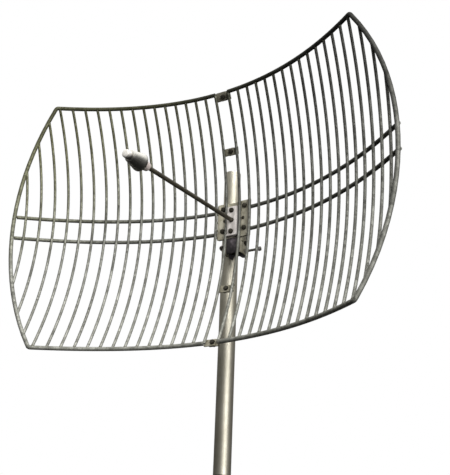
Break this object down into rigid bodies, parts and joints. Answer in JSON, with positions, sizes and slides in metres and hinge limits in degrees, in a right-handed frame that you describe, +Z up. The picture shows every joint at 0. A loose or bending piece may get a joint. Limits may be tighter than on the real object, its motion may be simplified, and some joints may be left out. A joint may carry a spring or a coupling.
{
  "type": "grid parabolic antenna",
  "caption": "Outdoor directional antenna: a curved reflector of welded steel wire in two halves, a feed on a boom in front and a tilting bracket clamped to a tube mast.",
  "frame": {"origin": "middle of the flat face at the mast's foot, on the mast's axis", "axes": "+Z up the mast, -Y the way the reflector looks, +X across the reflector, to the right of someone who faces its front"},
  "size_m": [1.0132, 0.506, 0.8882],
  "materials": {
    "galvanised_steel": "dull zinc-coated steel, grey with a warm cast",
    "mast_steel": "drawn steel tube with a soft sheen",
    "zinc_plate": "bright zinc plate",
    "dark_steel": "blackened steel",
    "dark_paint": "near-black satin paint",
    "grey_plastic": "smooth grey moulding with a shine",
    "cream_plastic": "pale cream moulding",
    "nickel": "nickel-plated brass",
    "black_plastic": "black plastic"
  },
  "bodies": {
    "mast": {"mast_tube": "mast_steel", "mast_foot_plug": "black_plastic", "mast_bracket": "dark_paint", "mast_saddle_upper": "zinc_plate", "mast_saddle_lower": "zinc_plate", "u_bolt_upper": "zinc_plate", "u_bolt_lower": "zinc_plate", "pivot_bolt": "dark_steel", "pivot_nut": "zinc_plate", "pivot_end_nut": "zinc_plate", "lock_bolt": "dark_steel"},
    "head": {"left_grid": "galvanised_steel", "right_grid": "galvanised_steel", "left_hub_plate": "galvanised_steel", "right_hub_plate": "galvanised_steel", "hub_back_plate": "galvanised_steel", "tilt_bracket": "galvanised_steel", "left_seam_lug_top": "galvanised_steel", "right_seam_lug_top": "galvanised_steel", "left_seam_lug_upper": "galvanised_steel", "right_seam_lug_upper": "galvanised_steel", "left_seam_lug_lower": "galvanised_steel", "right_seam_lug_lower": "galvanised_steel", "left_seam_lug_bottom": "galvanised_steel", "right_seam_lug_bottom": "galvanised_steel", "hub_channel": "zinc_plate", "feed_boom": "dark_steel", "left_hub_rivet": "dark_steel", "right_hub_rivet": "dark_steel", "centre_bolt_upper": "dark_steel", "centre_bolt_lower": "dark_steel", "left_hub_bolt_upper": "dark_steel", "left_hub_bolt_lower": "dark_steel", "right_hub_bolt_upper": "dark_steel", "right_hub_bolt_lower": "dark_steel", "seam_bolt_top": "dark_steel", "seam_bolt_upper": "dark_steel", "seam_bolt_lower": "dark_steel", "seam_bolt_bottom": "dark_steel", "tilt_front_plate": "dark_paint", "feed_body": "grey_plastic", "feed_collar": "cream_plastic", "feed_tip": "nickel", "boom_nut": "nickel", "cable_connector": "nickel"}
  },
  "joints": [
    {"name": "tilt", "type": "hinge", "parent": "mast", "child": "head", "pos_m": [0.05, -0.045, 0.5015], "axis": [1, 0, 0], "range_deg": [-10, 10]}
  ]
}
